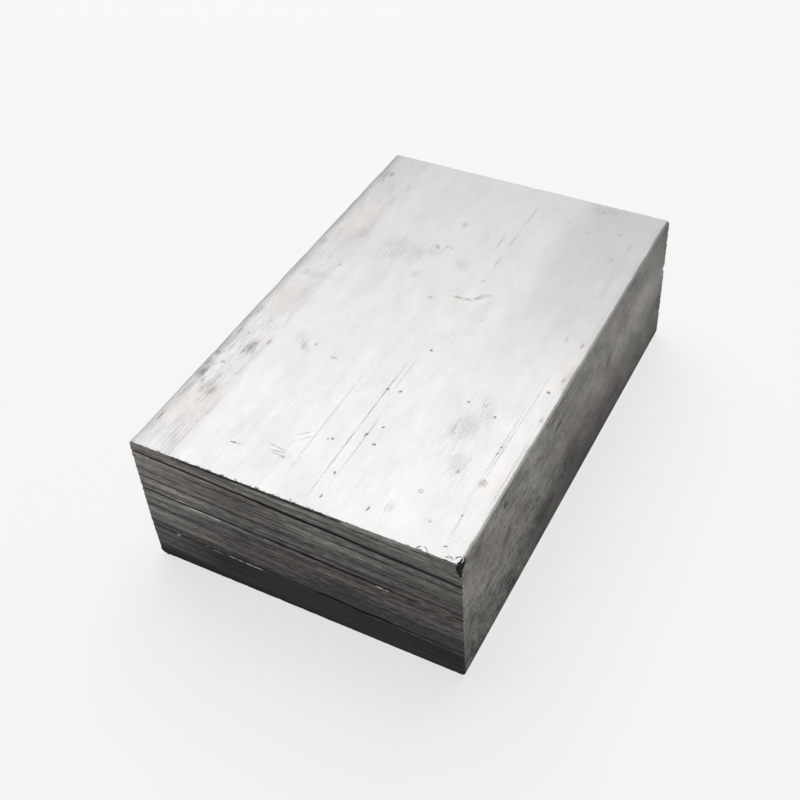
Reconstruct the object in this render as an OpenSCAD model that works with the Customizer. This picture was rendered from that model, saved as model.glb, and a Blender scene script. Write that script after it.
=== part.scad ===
// Aluminium flat bar: a short length sawn from extruded stock, lying on its broad face.
// Millimetres. X runs across the width, Y along the length and Z up.
// The origin is the centre of the underside.
// Both ends were cut by the same saw, so one end's marks mirror the other's.

/* [Bar section] */
// Width across the broad faces
bar_width = 105; // [60:1:200]
// Thickness between the broad faces
bar_thickness = 50; // [30:1:100]
// Radius that the extrusion die leaves on the two long edges of the top face
edge_radius = 1; // [0.3:0.1:3]
// Radius of the two long edges that the bar lies on
lower_edge_radius = 1.6; // [0.3:0.1:3]

/* [Sawn length] */
// Length between the two sawn ends
cut_length = 162; // [60:1:400]

/* [Saw marks] */
// Distance from the top face down to the first scored line, at mid width
first_score_drop = 6.5; // [4:0.5:12]
// Distance from one scored line to the next
score_pitch = 15.5; // [6:0.1:25]
// Width of a scored line at the surface
score_width = 0.7; // [0.3:0.1:2]
// Depth of a scored line
score_depth = 0.4; // [0.1:0.1:1]
// Angle between the scored lines and the broad faces, in degrees
score_tilt = 2.4; // [0:0.1:4]
// How far the sawn face has drawn in at the underside, below the last scored line
breakout_setback = 0.4; // [0.1:0.1:1.5]

/* [Knocked corner] */
// Distance from the top face down to the middle of the knock
knock_drop = 3; // [3:0.5:10]
// Radius of what struck the upright edge
knock_radius = 4; // [2:0.5:8]
// Depth of the knock in the sawn face, at the edge
knock_depth = 1.2; // [0.3:0.1:1.8]

/* [Hidden] */
// Facets round a circle
$fn = 64;

// How far the cutting shapes stand outside the bar
clear = 5;
// The last scored line keeps at least this far above the underside
last_line_margin = 4;

top_z = bar_thickness;
right_x = bar_width / 2;
front_y = -cut_length / 2;
score_count = 1 + floor((bar_thickness - first_score_drop - last_line_margin) / score_pitch);
last_score_drop = first_score_drop + (score_count - 1) * score_pitch;
// Length of a scored line's cutter, which passes both edges of the bar
score_reach = bar_width / cos(score_tilt) + 2 * clear;

// The die's outline: a rectangle with rounded corners, standing on the X axis
module bar_outline() {
    half_height = bar_thickness / 2;
    upper_half = bar_width / 2 - edge_radius;
    lower_half = bar_width / 2 - lower_edge_radius;
    translate([-upper_half, half_height])
        square([2 * upper_half, half_height]);
    translate([-lower_half, 0])
        square([2 * lower_half, half_height]);
    translate([-bar_width / 2, lower_edge_radius])
        square([bar_width, bar_thickness - edge_radius - lower_edge_radius]);
    for (side = [-1, 1]) {
        translate([side * upper_half, bar_thickness - edge_radius])
            circle(r = edge_radius);
        translate([side * lower_half, lower_edge_radius])
            circle(r = lower_edge_radius);
    }
}

module extruded_stock() {
    rotate([90, 0, 0])
        linear_extrude(height = cut_length, center = true)
            bar_outline();
}

// Draws a profile, of depth into the bar against height, out across the sawn face
module across_the_face(points) {
    rotate([90, 0, 90])
        linear_extrude(height = score_reach, center = true)
            polygon(points);
}

// A line that the blade scored deeper than its neighbours
module scored_line() {
    half = score_width / 2;
    across_the_face([[-clear, half], [0, half], [score_depth, 0], [0, -half], [-clear, -half]]);
}

// The strip below the last line, which draws in towards the underside
module breakout_strip() {
    strip_height = bar_thickness - last_score_drop;
    reach = strip_height + clear;
    far_setback = breakout_setback * reach / strip_height;
    across_the_face([[-clear, 0], [0, 0], [far_setback, -reach], [-clear, -reach]]);
}

// All that the saw took from the face at the -Y end
module saw_marks() {
    for (i = [0 : score_count - 1])
        translate([0, front_y, top_z - first_score_drop - i * score_pitch])
            rotate([0, score_tilt, 0])
                scored_line();
    translate([0, front_y, top_z - last_score_drop])
        rotate([0, score_tilt, 0])
            breakout_strip();
}

// The dent in the upright edge, under the top face's front right corner
module corner_knock() {
    translate([right_x, front_y - knock_radius + knock_depth, top_z - knock_drop])
        sphere(r = knock_radius);
}

module flat_bar() {
    color("#c9cacb")
        difference() {
            extruded_stock();
            saw_marks();
            mirror([0, 1, 0]) saw_marks();
            corner_knock();
        }
}

flat_bar();
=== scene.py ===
"""Dresses a sawn length of aluminium flat bar: four mill-finish extruded faces between two band-sawn ends.

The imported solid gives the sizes. The blank that stands for it is drawn in millimetres, as the shop would
measure it. Its tree of Geometry Nodes scores, ridges, knocks and burrs it, and brings it to metres last.
"""

import logging
import math
from abc import ABC, abstractmethod
from dataclasses import dataclass
from enum import Enum
from functools import partial
from typing import Any, Callable, Sequence

import bpy
from mathutils import Matrix, Vector


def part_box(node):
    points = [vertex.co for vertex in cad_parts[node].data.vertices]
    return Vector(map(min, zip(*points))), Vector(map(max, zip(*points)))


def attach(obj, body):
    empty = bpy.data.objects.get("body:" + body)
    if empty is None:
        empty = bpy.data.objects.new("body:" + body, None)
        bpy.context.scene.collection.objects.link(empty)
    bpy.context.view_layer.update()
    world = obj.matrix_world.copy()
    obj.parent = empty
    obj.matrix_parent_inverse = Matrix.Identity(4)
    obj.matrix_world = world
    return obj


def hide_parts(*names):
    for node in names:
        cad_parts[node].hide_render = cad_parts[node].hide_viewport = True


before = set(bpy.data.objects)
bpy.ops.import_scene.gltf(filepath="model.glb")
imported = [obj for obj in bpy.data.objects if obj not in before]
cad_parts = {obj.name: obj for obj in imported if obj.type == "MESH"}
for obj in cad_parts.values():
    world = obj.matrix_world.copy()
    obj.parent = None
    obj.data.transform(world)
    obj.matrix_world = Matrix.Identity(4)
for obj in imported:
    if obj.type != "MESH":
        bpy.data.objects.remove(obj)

LOG = logging.getLogger("flat_bar")
MM = 0.001
BAKE_MAP = "OFBake"
PIECE = "aluminium_flat_bar"

# What add_node() calls the nodes that it adds most
KINDS = {
    "RANGE": "ShaderNodeMapRange", "EASE": "ShaderNodeMapRange", "NOISE": "ShaderNodeTexNoise",
    "CELLS": "ShaderNodeTexVoronoi", "SPLIT": "ShaderNodeSeparateXYZ", "JOIN": "ShaderNodeCombineXYZ",
    "MIX": "ShaderNodeMix", "BUMP": "ShaderNodeBump", "ATTRIBUTE": "ShaderNodeAttribute",
    "COORDINATES": "ShaderNodeTexCoord", "GIVEN": "NodeGroupInput", "RESULT": "NodeGroupOutput",
    "GROUP": "GeometryNodeGroup", "MERGE": "GeometryNodeJoinGeometry",
    "POSITION": "GeometryNodeInputPosition", "NORMAL": "GeometryNodeInputNormal",
    "MOVE": "GeometryNodeSetPosition", "PAINT": "GeometryNodeSetMaterial",
    "REALIZE": "GeometryNodeRealizeInstances", "READ": "GeometryNodeInputNamedAttribute",
    "STORE": "GeometryNodeStoreNamedAttribute", "COMPARE": "FunctionNodeCompare",
}
# The settings that a node of such a kind has unless it is given others
USUAL: dict[str, dict[str, Any]] = {
    "EASE": {"interpolation_type": "SMOOTHSTEP"},
    "MIX": {"data_type": "RGBA"},
    "READ": {"data_type": "FLOAT"},
    "STORE": {"data_type": "FLOAT", "domain": "POINT"},
    "COMPARE": {"data_type": "FLOAT", "operation": "LESS_THAN"},
}
# Distance from the top face down to the lowest scored line at mid width, in millimetres
LAST_LINE = 37.4
# How far each end's textures are taken from the middle, in millimetres, so that the two ends differ
APART = 30.0

Add = Callable[..., bpy.types.Node]


def linear(colour: str) -> tuple[float, float, float, float]:
    """Turns an sRGB colour into the linear one that the shaders work in.

    Args:
        colour: Six hex digits after a hash sign.

    Returns:
        Linear red, green and blue, with an alpha of one.
    """
    parts = [int(colour[i:i + 2], 16) / 255 for i in (1, 3, 5)]
    red, green, blue = (c / 12.92 if c <= 0.04045 else ((c + 0.055) / 1.055) ** 2.4 for c in parts)
    return red, green, blue, 1.0


def feed(tree: bpy.types.NodeTree, socket: bpy.types.NodeSocket, source: Any) -> None:
    """Gives an input what feeds it.

    Args:
        tree: The tree that the input is in.
        socket: The input.
        source: A node, an output, a list of them, a tint or another value, or None to leave the input be.
    """
    for part in source if isinstance(source, list) else [source]:
        if isinstance(part, bpy.types.Node):
            part = next(out for out in part.outputs if out.enabled)
        if isinstance(part, bpy.types.NodeSocket):
            tree.links.new(part, socket)
        elif part is not None:
            socket.default_value = linear(part.value) if isinstance(part, Tint) else part


def add_node(tree: bpy.types.NodeTree, kind: str, *sources: Any, **settings: Any) -> bpy.types.Node:
    """Adds one node to a tree, with its settings and what feeds it.

    Args:
        tree: The tree that takes the node.
        kind: One of KINDS, a node's type name, or an operation: a Math node's, or a Vector Math node's after
            "VECTOR_".
        sources: What feeds each shown input, in order, as feed() takes it.
        settings: The node's own properties, and under "named" a dict from input names to what feeds them.

    Returns:
        The new node.
    """
    named = settings.pop("named", {})
    usual = USUAL.get(kind, {})
    kind = KINDS.get(kind, kind)
    if "Node" not in kind:
        usual = {"operation": kind.removeprefix("VECTOR_")}
        kind = "ShaderNodeVectorMath" if kind.startswith("VECTOR_") else "ShaderNodeMath"
    node = tree.nodes.new(kind)
    for name, value in {**usual, **settings}.items():
        setattr(node, name, value)
    shown = [socket for socket in node.inputs if socket.enabled]
    for socket, source in list(zip(shown, sources)) + [(node.inputs[name], named[name]) for name in named]:
        feed(tree, socket, source)
    return node


def new_group(name: str, inputs: dict[str, str], outputs: dict[str, str]) -> bpy.types.NodeTree:
    """Makes an empty group of Geometry Nodes with its sockets.

    Args:
        name: The group's name.
        inputs: Each input's name and the ending of its socket's type.
        outputs: Each output's name and the ending of its socket's type.

    Returns:
        The group.
    """
    tree = bpy.data.node_groups.new(name, "GeometryNodeTree")
    for sockets, way in ((inputs, "INPUT"), (outputs, "OUTPUT")):
        for socket, ending in sockets.items():
            tree.interface.new_socket(socket, in_out=way, socket_type="NodeSocket" + ending)
    return tree


def new_object(name: str, data: bpy.types.ID) -> bpy.types.Object:
    """Makes an object and puts it in the scene.

    Args:
        name: The object's name.
        data: Its mesh, lamp or camera.

    Returns:
        The object.
    """
    made = bpy.data.objects.new(name, data)
    bpy.context.scene.collection.objects.link(made)
    return made


def direction(azimuth: float, elevation: float) -> Vector:
    """Gives the direction in which something stands, seen from the bar.

    Args:
        azimuth: Degrees from the front end, going round by the right.
        elevation: Degrees above the floor.

    Returns:
        A vector of length one.
    """
    turn, rise = math.radians(azimuth), math.radians(elevation)
    return Vector((math.sin(turn) * math.cos(rise), -math.cos(turn) * math.cos(rise), math.sin(rise)))


def spaced(start: float, stop: float, coarse: float,
           spots: Sequence[tuple[float, float, float]]) -> list[float]:
    """Places grid lines along a length, closer together round some spots.

    Args:
        start: The first line's place.
        stop: The last line's place.
        coarse: The spacing away from the spots.
        spots: Each spot's place, its half width and the spacing within it.

    Returns:
        The places in rising order.
    """
    step = 0.02
    places = [start + step * (i + 0.5) for i in range(round((stop - start) / step))]
    density = []
    for place in places:
        spacing = coarse
        for spot, half, fine in spots:
            ease = min(1.0, max(0.0, abs(place - spot) / half - 1.0))
            spacing = min(spacing, fine + (coarse - fine) * ease)
        density.append(step / spacing)
    cells = round(sum(density))
    share = sum(density) / cells
    lines, running = [start], 0.0
    for place, part in zip(places, density):
        running += part
        if running >= share * len(lines) and len(lines) < cells:
            lines.append(place + step / 2)
    return lines + [stop]


class End(Enum):
    """A sawn end, by which way it faces along Y."""

    FRONT = -1
    BACK = 1


class Tint(Enum):
    """Colours of the metal and of the studio, as the eye sees them."""

    MILL = "#D6D6D5"
    MILL_DULL = "#BEBEBD"
    # The flank tints: duller than the top's, and darker still as painted shade.
    FLANK = "#AEABA5"
    FLANK_DARK = "#454440"
    FLANK_WARM = "#7E7976"
    RUBBED = "#BAB4B1"
    BLUISH = "#C6C8CC"
    SMUDGE = "#949495"
    STAIN = "#83786D"
    GRIME = "#55524E"
    BLUSH = "#C9C1BB"
    PIT = "#55504B"
    GROOVE = "#828184"
    # The sawn tints are darker than bare metal, partly as painted shade, for the ends turn from the light.
    SAWN = "#77746F"
    SAWN_WARM = "#7B736D"
    SAWN_GREEN = "#72716C"
    SAWN_DARK = "#363432"
    SAWN_LIGHT = "#BDB9B4"
    # Painted shade for the strip under the last scored line, which is also smoother and leans back.
    STRIP = "#131211"
    # Near black: chips and dashes, and painted shade in the scored lines and in the dents.
    SCORED = "#262422"
    TORN = "#CFCDCB"
    # Painted glint on the lips turned up below the scored lines.
    BRIGHT = "#EFEDEA"
    FLOOR = "#F2F2F1"


class Side(Enum):
    """A face of the bar that carries marks of its own."""

    TOP = "top"
    RIGHT = "right"


class Wear(Enum):
    """What a mark on the skin is: its colour, strength, softness, raggedness and depth in millimetres."""

    PATCH = (Tint.SMUDGE, 0.25, 1.0, 2.2, 0.0)
    BLUSH = (Tint.BLUSH, 0.4, 1.0, 1.0, 0.0)
    SMUDGE = (Tint.SMUDGE, 0.52, 1.0, 3.0, 0.0)
    STAIN = (Tint.STAIN, 0.6, 1.0, 2.2, 0.0)
    GRIME = (Tint.GRIME, 0.5, 1.0, 3.6, 0.0)
    # Painted shade low on the right face, and darker patches above it.
    SHADE_AND_DARK_PATCH = (Tint.GRIME, 0.66, 1.0, 0.8, 0.0)
    DASH = (Tint.SCORED, 0.6, 0.6, 1.5, 0.03)
    CHIP = (Tint.SCORED, 0.95, 0.45, 0.9, 0.1)
    LINE = (Tint.SMUDGE, 0.4, 0.5, 4.0, 0.01)
    SCRATCH = (Tint.STAIN, 0.55, 0.5, 3.0, 0.02)
    PIT = (Tint.PIT, 0.65, 0.6, 3.4, 0.06)


@dataclass(frozen=True)
class Mark:
    """A mark of handling on the skin, in millimetres.

    Attributes:
        across: From the left edge on the top, or down from the top edge on the right face.
        along: From the front end.
        length: Its length along the bar before it is turned.
        width: Its width across the bar before it is turned.
        turn: How far it is turned, in degrees.
    """

    across: float
    along: float
    length: float
    width: float
    turn: float = 0.0


@dataclass(frozen=True)
class ScoredLine:
    """A line that the blade scored across a sawn end, in millimetres.

    Attributes:
        end: The end it is on.
        drop: Distance below the top face at mid width.
        fall: How much lower it is at the right edge than at the left.
        start: Where it starts, from the left edge.
        stop: Where it stops, from the left edge.
        width: Its width at the surface.
        depth: Its depth.
        broken: How far it fades in and out, from nought to one.
        lip: Where the metal turned up below it, with a painted glint, from and to, from the left edge.
    """

    end: End
    drop: float
    fall: float
    start: float = -1.0
    stop: float = 110.0
    width: float = 0.7
    depth: float = 0.4
    broken: float = 0.3
    lip: tuple[float, float] = (-50.0, -40.0)


@dataclass(frozen=True)
class Curl:
    """A curl of burr that stayed on the front top edge, in millimetres and degrees.

    Attributes:
        place: The middle of its arc: from the left edge, from the front end and down from the top face.
        radius: Radius of the arc.
        start: Where the arc starts.
        sweep: How far the arc goes round.
        thickness: Thickness of the curled metal.
        bright: How much painted highlight the curl's torn metal carries, from nought to one.
    """

    place: tuple[float, float, float]
    radius: float
    start: float
    sweep: float
    thickness: float = 0.26
    bright: float = 0.0


@dataclass(frozen=True)
class Knock:
    """A dent, as the ball that would leave it.

    Attributes:
        place: The ball's centre in millimetres: across, along and up, in the bar's frame.
        radius: The ball's radius in millimetres.
    """

    place: tuple[float, float, float]
    radius: float


@dataclass(frozen=True)
class DieLine:
    """A groove that a speck on the die drew along the top face, in millimetres.

    Attributes:
        across: Its place from the left edge.
        start: Where it starts, from the front end.
        stop: Where it stops, from the front end.
        width: Its width.
        depth: Its depth.
    """

    across: float
    start: float
    stop: float
    width: float = 0.35
    depth: float = 0.06


SCORED_LINES = (
    ScoredLine(End.FRONT, 6.5, 5.6, width=1.05, depth=0.5, broken=0.1),
    ScoredLine(End.FRONT, 6.5, 5.6, start=40, stop=93, width=1.35, depth=0.62, broken=0.3),
    ScoredLine(End.FRONT, 21.7, 4.2, stop=93, width=0.85, depth=0.42, broken=0.2, lip=(16, 29)),
    ScoredLine(End.FRONT, 21.7, 4.2, start=43, stop=84, width=1.35, depth=0.62, broken=0.4, lip=(78, 83)),
    ScoredLine(End.FRONT, 21.7, 4.2, start=100, broken=0.0, lip=(42, 44.5)),
    ScoredLine(End.FRONT, LAST_LINE, 3.2, width=0.7, depth=0.35, broken=0.5, lip=(18.5, 40.5)),
    ScoredLine(End.FRONT, LAST_LINE, 3.2, start=56, stop=84, width=1.2, depth=0.55, lip=(8, 10.5)),
    ScoredLine(End.BACK, 6.5, 4.4, width=0.9, depth=0.5),
    ScoredLine(End.BACK, 22.0, 4.4, width=0.9, broken=0.5, lip=(50, 66)),
    ScoredLine(End.BACK, 37.5, 4.4, width=0.8, broken=0.6, lip=(12, 24)),
)
# The lines too faint to shape the metal, painted as shade, by end: each row is a drop, a fall, a start,
# a stop, a width and how dark the line is. The first front row is a painted shadow under the top edge's
# burr.
FAINT_LINES = [ScoredLine(end, *row) for end, rows in {
    End.FRONT: (
        (0.75, 0.5, 15, 69, 1.4, 1.7), (1.1, 0.6, 84, 100, 0.8, 0.6), (5.1, 5.2, -1, 14, 0.6, 0.7),
        (12.5, 3.6, -1, 17, 0.7, 0.8), (16.0, 4.5, -1, 62, 0.8, 0.95), (15.4, 4.5, 62, 110, 0.7, 0.6),
        (9.2, 4.5, 16, 41, 0.6, 0.9), (10.0, 4.5, 66, 88, 0.7, 1.0), (11.6, 4.0, 34, 53, 0.7, 0.7),
        (1.4, 5.0, 72, 92, 0.6, 0.8), (3.4, 5.0, 8, 34, 0.5, 0.6), (28.0, 4.0, -1, 19, 0.8, 0.9),
        (25.3, 4.0, -1, 26, 0.6, 0.5), (27.2, 4.0, 42, 66, 0.6, 0.6), (28.5, 4.0, 38, 72, 0.6, 0.6),
        (31.4, 4.0, 50, 110, 0.6, 0.6), (34.5, 3.6, -1, 12, 0.6, 0.8),
    ),
    End.BACK: (
        (3.0, 4.4, 48, 100, 0.6, 0.7), (10.5, 4.4, -1, 60, 0.7, 0.8), (14.0, 4.4, -1, 110, 0.7, 0.8),
        (26.5, 4.4, 20, 75, 0.6, 0.8), (30.5, 4.4, 30, 110, 0.7, 0.8),
    ),
}.items() for row in rows]
DIE_LINES = (
    DieLine(57.0, 14, 60, depth=0.07),
    DieLine(98.0, 30, 50, depth=0.05),
)
CURLS = (
    Curl((93.6, -0.1, -0.1), 1.6, 5, 175, 0.22, bright=0.6),
    Curl((103.7, 1.4, -0.1), 1.1, -40, 215, 0.24, bright=1.0),
    Curl((101.2, 0.2, -0.2), 1.2, 25, 130, 0.22, bright=1.0),
    Curl((25.2, -0.5, 0.0), 0.9, 30, 60, 0.24),
    Curl((36.0, -0.1, -0.1), 0.6, 20, 90, 0.2),
    Curl((41.5, -0.1, -0.1), 0.55, 60, 90, 0.22),
    Curl((45.2, -0.1, -0.1), 0.5, 30, 90, 0.22),
    Curl((53.5, -0.1, -0.1), 0.7, -10, 90, 0.26),
    Curl((58.8, -0.1, 0.0), 0.5, 40, 80, 0.2),
)
# The marks by kind and face, in the order in which they are laid: each row is a Mark's values
MARKS: dict[tuple[Wear, Side], tuple[tuple[float, ...], ...]] = {
    (Wear.PATCH, Side.TOP): (
        (84.5, 45, 24, 13), (82, 44, 16, 6), (88, 52, 18, 7, -8), (89, 31, 14, 8), (32, 111, 34, 13, 66),
        (28, 108, 18, 9, 60), (26, 113, 16, 12, 60), (22.5, 58.5, 12, 6, -42), (51, 112, 8, 6),
        (39, 101, 6, 4, 30), (9.5, 87.5, 6, 14), (13.6, 114, 10, 6), (12.4, 134, 12, 5), (14.2, 144.5, 8, 5),
        (79, 9.5, 6, 5), (98.4, 122, 34, 4), (82, 158, 7, 14),
    ),
    (Wear.BLUSH, Side.TOP): (
        (7.6, 122, 34, 9), (6.5, 74, 24, 8), (5.6, 20, 22, 8), (102, 30, 34, 7), (101.5, 76, 40, 7),
    ),
    (Wear.SMUDGE, Side.TOP): (
        (82, 43.5, 10, 1.4), (86.2, 55, 3, 2.4), (24.5, 56, 7, 3, -40), (36, 55, 1.6, 5),
        (42.5, 132, 5, 3.8, -20), (43, 118.8, 3, 3), (65.2, 100.4, 2.8, 5.4, -30), (50, 92.8, 1.9, 4.4, -12),
        (61.2, 107, 1.8, 1.6), (9.6, 48, 12, 6), (2.2, 34, 16, 5.6), (2.0, 47, 18, 5.2), (2.6, 25, 16, 3.4),
        (8, 28, 14, 6), (8.6, 62, 5.4, 2.0), (2.1, 65.4, 7, 3.2), (1.4, 60, 22, 3.0), (1.6, 90, 20, 4.0),
        (2.6, 105, 6, 4.4), (3.4, 148, 12, 5.0), (1.2, 124, 44, 2.6), (92.5, 147.6, 3.2, 2.4, 30),
        (94.4, 134.2, 3.5, 2.2, -20), (91.2, 9.7, 1.4, 2.7), (96.5, 91, 5, 1.6), (84, 18, 2.2, 3.6),
        (87.4, 21.5, 0.9, 0.9), (98.2, 143, 6, 1.8), (86.2, 159.4, 2.4, 4.4),
    ),
    (Wear.STAIN, Side.TOP): (
        (27.6, 58, 2.5, 1.4), (39.6, 117.5, 4.0, 1.8, -38), (57.4, 96.2, 1.7, 5.6),
        (60.8, 96.4, 1.9, 5.2, -8), (63.2, 98.2, 2.3, 4.6, -38), (43.3, 13.2, 1.6, 2.4),
        (3.2, 33.6, 10, 1.2), (13.7, 52.8, 5.0, 1.6), (9.8, 27.2, 7, 2.8, 12), (2.2, 12.5, 7, 1.8),
        (5.5, 54, 1.2, 1.0), (14.4, 95.5, 2.4, 1.2), (4.8, 149.6, 4, 2.4), (101.8, 90.4, 3.8, 1.6),
        (98.2, 27.6, 4.4, 3.6), (103, 56.2, 3.2, 1.4), (90.2, 28.6, 2.6, 1.8), (102.4, 74, 4, 1.4),
    ),
    (Wear.GRIME, Side.TOP): (
        (9.6, 48.6, 7, 3.4), (10.2, 50.4, 3, 2.2), (2.4, 33.2, 5.5, 3.0), (1.9, 42.3, 3.4, 2.4),
        (5.8, 39.4, 2.2, 2.0), (4.6, 30.2, 4, 1.6), (1.6, 37.6, 4, 1.6), (8.8, 46.2, 3, 1.6),
        (2.4, 54, 6, 1.6),
    ),
    # Painted shade low on the right face, and darker patches above it.
    (Wear.SHADE_AND_DARK_PATCH, Side.RIGHT): (
        (39, 78, 22, 9, -45), (44, 66, 18, 7, -45), (19, 107, 12, 6, -45), (5, 9, 10, 7),
        (20, 28, 16, 8, -45), (30, 78, 34, 12), (46, 82, 100, 26), (42, 78, 50, 16),
    ),
    (Wear.DASH, Side.RIGHT): (
        (9.4, 65, 8, 2.0), (9.2, 49.5, 8, 0.9), (41.5, 29.5, 5, 2.4), (26, 16, 6, 0.7), (29.2, 15, 7, 0.8),
        (26, 50, 5, 1.0), (31.5, 27, 4, 1.0), (18, 30, 5, 0.7), (21, 43, 7, 0.7), (13.6, 40, 6, 0.7),
        (6.4, 56, 6, 0.9), (3.0, 62, 9, 1.0), (11.5, 22, 4, 0.6), (35, 20, 4, 0.7), (23.4, 8, 3, 0.7),
    ),
    (Wear.CHIP, Side.RIGHT): (
        (4.8, 27, 2.9, 1.7, -30), (8.6, 14.8, 1.0, 0.7), (17.5, 41, 1.1, 0.7), (23.5, 18, 1.0, 0.6),
        (33, 9.5, 1.2, 0.7), (13.5, 26.5, 1.2, 0.7), (3.4, 21, 1.4, 0.7), (31.4, 27.6, 1.2, 0.7),
        (25.8, 50.6, 1.3, 0.7),
    ),
    (Wear.LINE, Side.TOP): (
        (14.3, 20.5, 8, 0.6), (11.0, 8, 18, 0.4), (12.4, 7, 16, 0.4), (13.4, 9, 20, 0.5), (9.6, 6, 14, 0.4),
        (61.3, 146, 14, 1.3), (61.2, 131, 9, 1.1), (61.4, 118, 7, 0.9), (57.6, 128, 9, 0.9),
        (60.6, 27, 34, 0.7), (58.9, 57, 16, 0.5), (47.5, 30, 48, 0.7), (97.1, 41, 38, 0.5),
        (98.2, 62, 26, 0.5), (103.2, 34, 28, 0.5), (57.1, 8, 9, 0.4), (98.2, 12, 16, 0.5),
    ),
    (Wear.SCRATCH, Side.TOP): (
        (28.6, 12.3, 0.5, 3.8, -14), (40, 15.8, 0.35, 6.5, 6), (41, 14.4, 0.35, 7.5, -8),
        (41.5, 13.4, 0.3, 6, 4), (44, 23.5, 7, 0.25, 50), (45.5, 22, 8, 0.2, 46),
    ),
    (Wear.PIT, Side.TOP): (
        (27.6, 12.2, 0.6, 2.0, -14), (61.2, 70, 1.3, 1.0), (61, 50, 1.4, 1.0), (57.2, 49.5, 1.2, 0.9),
        (81, 54.4, 0.9, 0.8), (90.5, 52, 1.0, 0.9), (100.5, 67.5, 1.3, 1.2), (97.2, 39.2, 0.8, 0.6),
        (97.2, 41.8, 0.8, 0.6), (63.5, 35, 0.8, 0.8), (64.5, 28, 1.2, 1.2), (60.5, 30.5, 1.8, 1.1),
        (52.6, 25, 0.8, 0.9), (51.4, 24.4, 0.6, 0.7), (59.8, 14, 1.3, 1.0), (60.6, 5.2, 1.3, 0.7),
        (74.3, 6.5, 2.2, 0.6, 12), (98.7, 3.9, 0.7, 1.6, -20), (98, 14.9, 0.9, 0.7),
    ),
}


@dataclass(frozen=True, kw_only=True)
class Metal(ABC):
    """A bare metal, drawn in millimetres on the bar's own coordinates.

    Attributes:
        name: The material's name.
        roughness: The surface's middle roughness.
        glance: How bright it stays where it is seen at a glancing angle, from nought to one.
        relief: How tall a height of one stands, in millimetres.
    """

    name: str
    roughness: float
    glance: float = 1.0
    relief: float = 1.0

    @abstractmethod
    def draw(self, add: Add, place: Any) -> tuple[Any, Any, Any]:
        """Draws the surface.

        Args:
            add: Adds a node to the material's tree.
            place: The point's place in millimetres.

        Returns:
            The colour, the roughness and the height.
        """

    def make(self) -> bpy.types.Material:
        """Makes the material.

        Returns:
            The material.
        """
        material = bpy.data.materials.new(self.name)
        material.use_nodes = True
        tree = material.node_tree
        shader = tree.nodes["Principled BSDF"]
        shader.inputs["Metallic"].default_value = 1.0
        shader.inputs["Specular Tint"].default_value = (self.glance, self.glance, self.glance, 1.0)
        add = partial(add_node, tree)
        place = add("VECTOR_SCALE", add("COORDINATES").outputs["Object"], 1 / MM)
        colour, rough, height = self.draw(add, place)
        bump = add("BUMP", named={"Strength": 1.0, "Distance": self.relief * MM, "Height": height})
        for socket, source in (("Base Color", colour), ("Roughness", rough), ("Normal", bump)):
            feed(tree, shader.inputs[socket], source)
        return material


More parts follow.
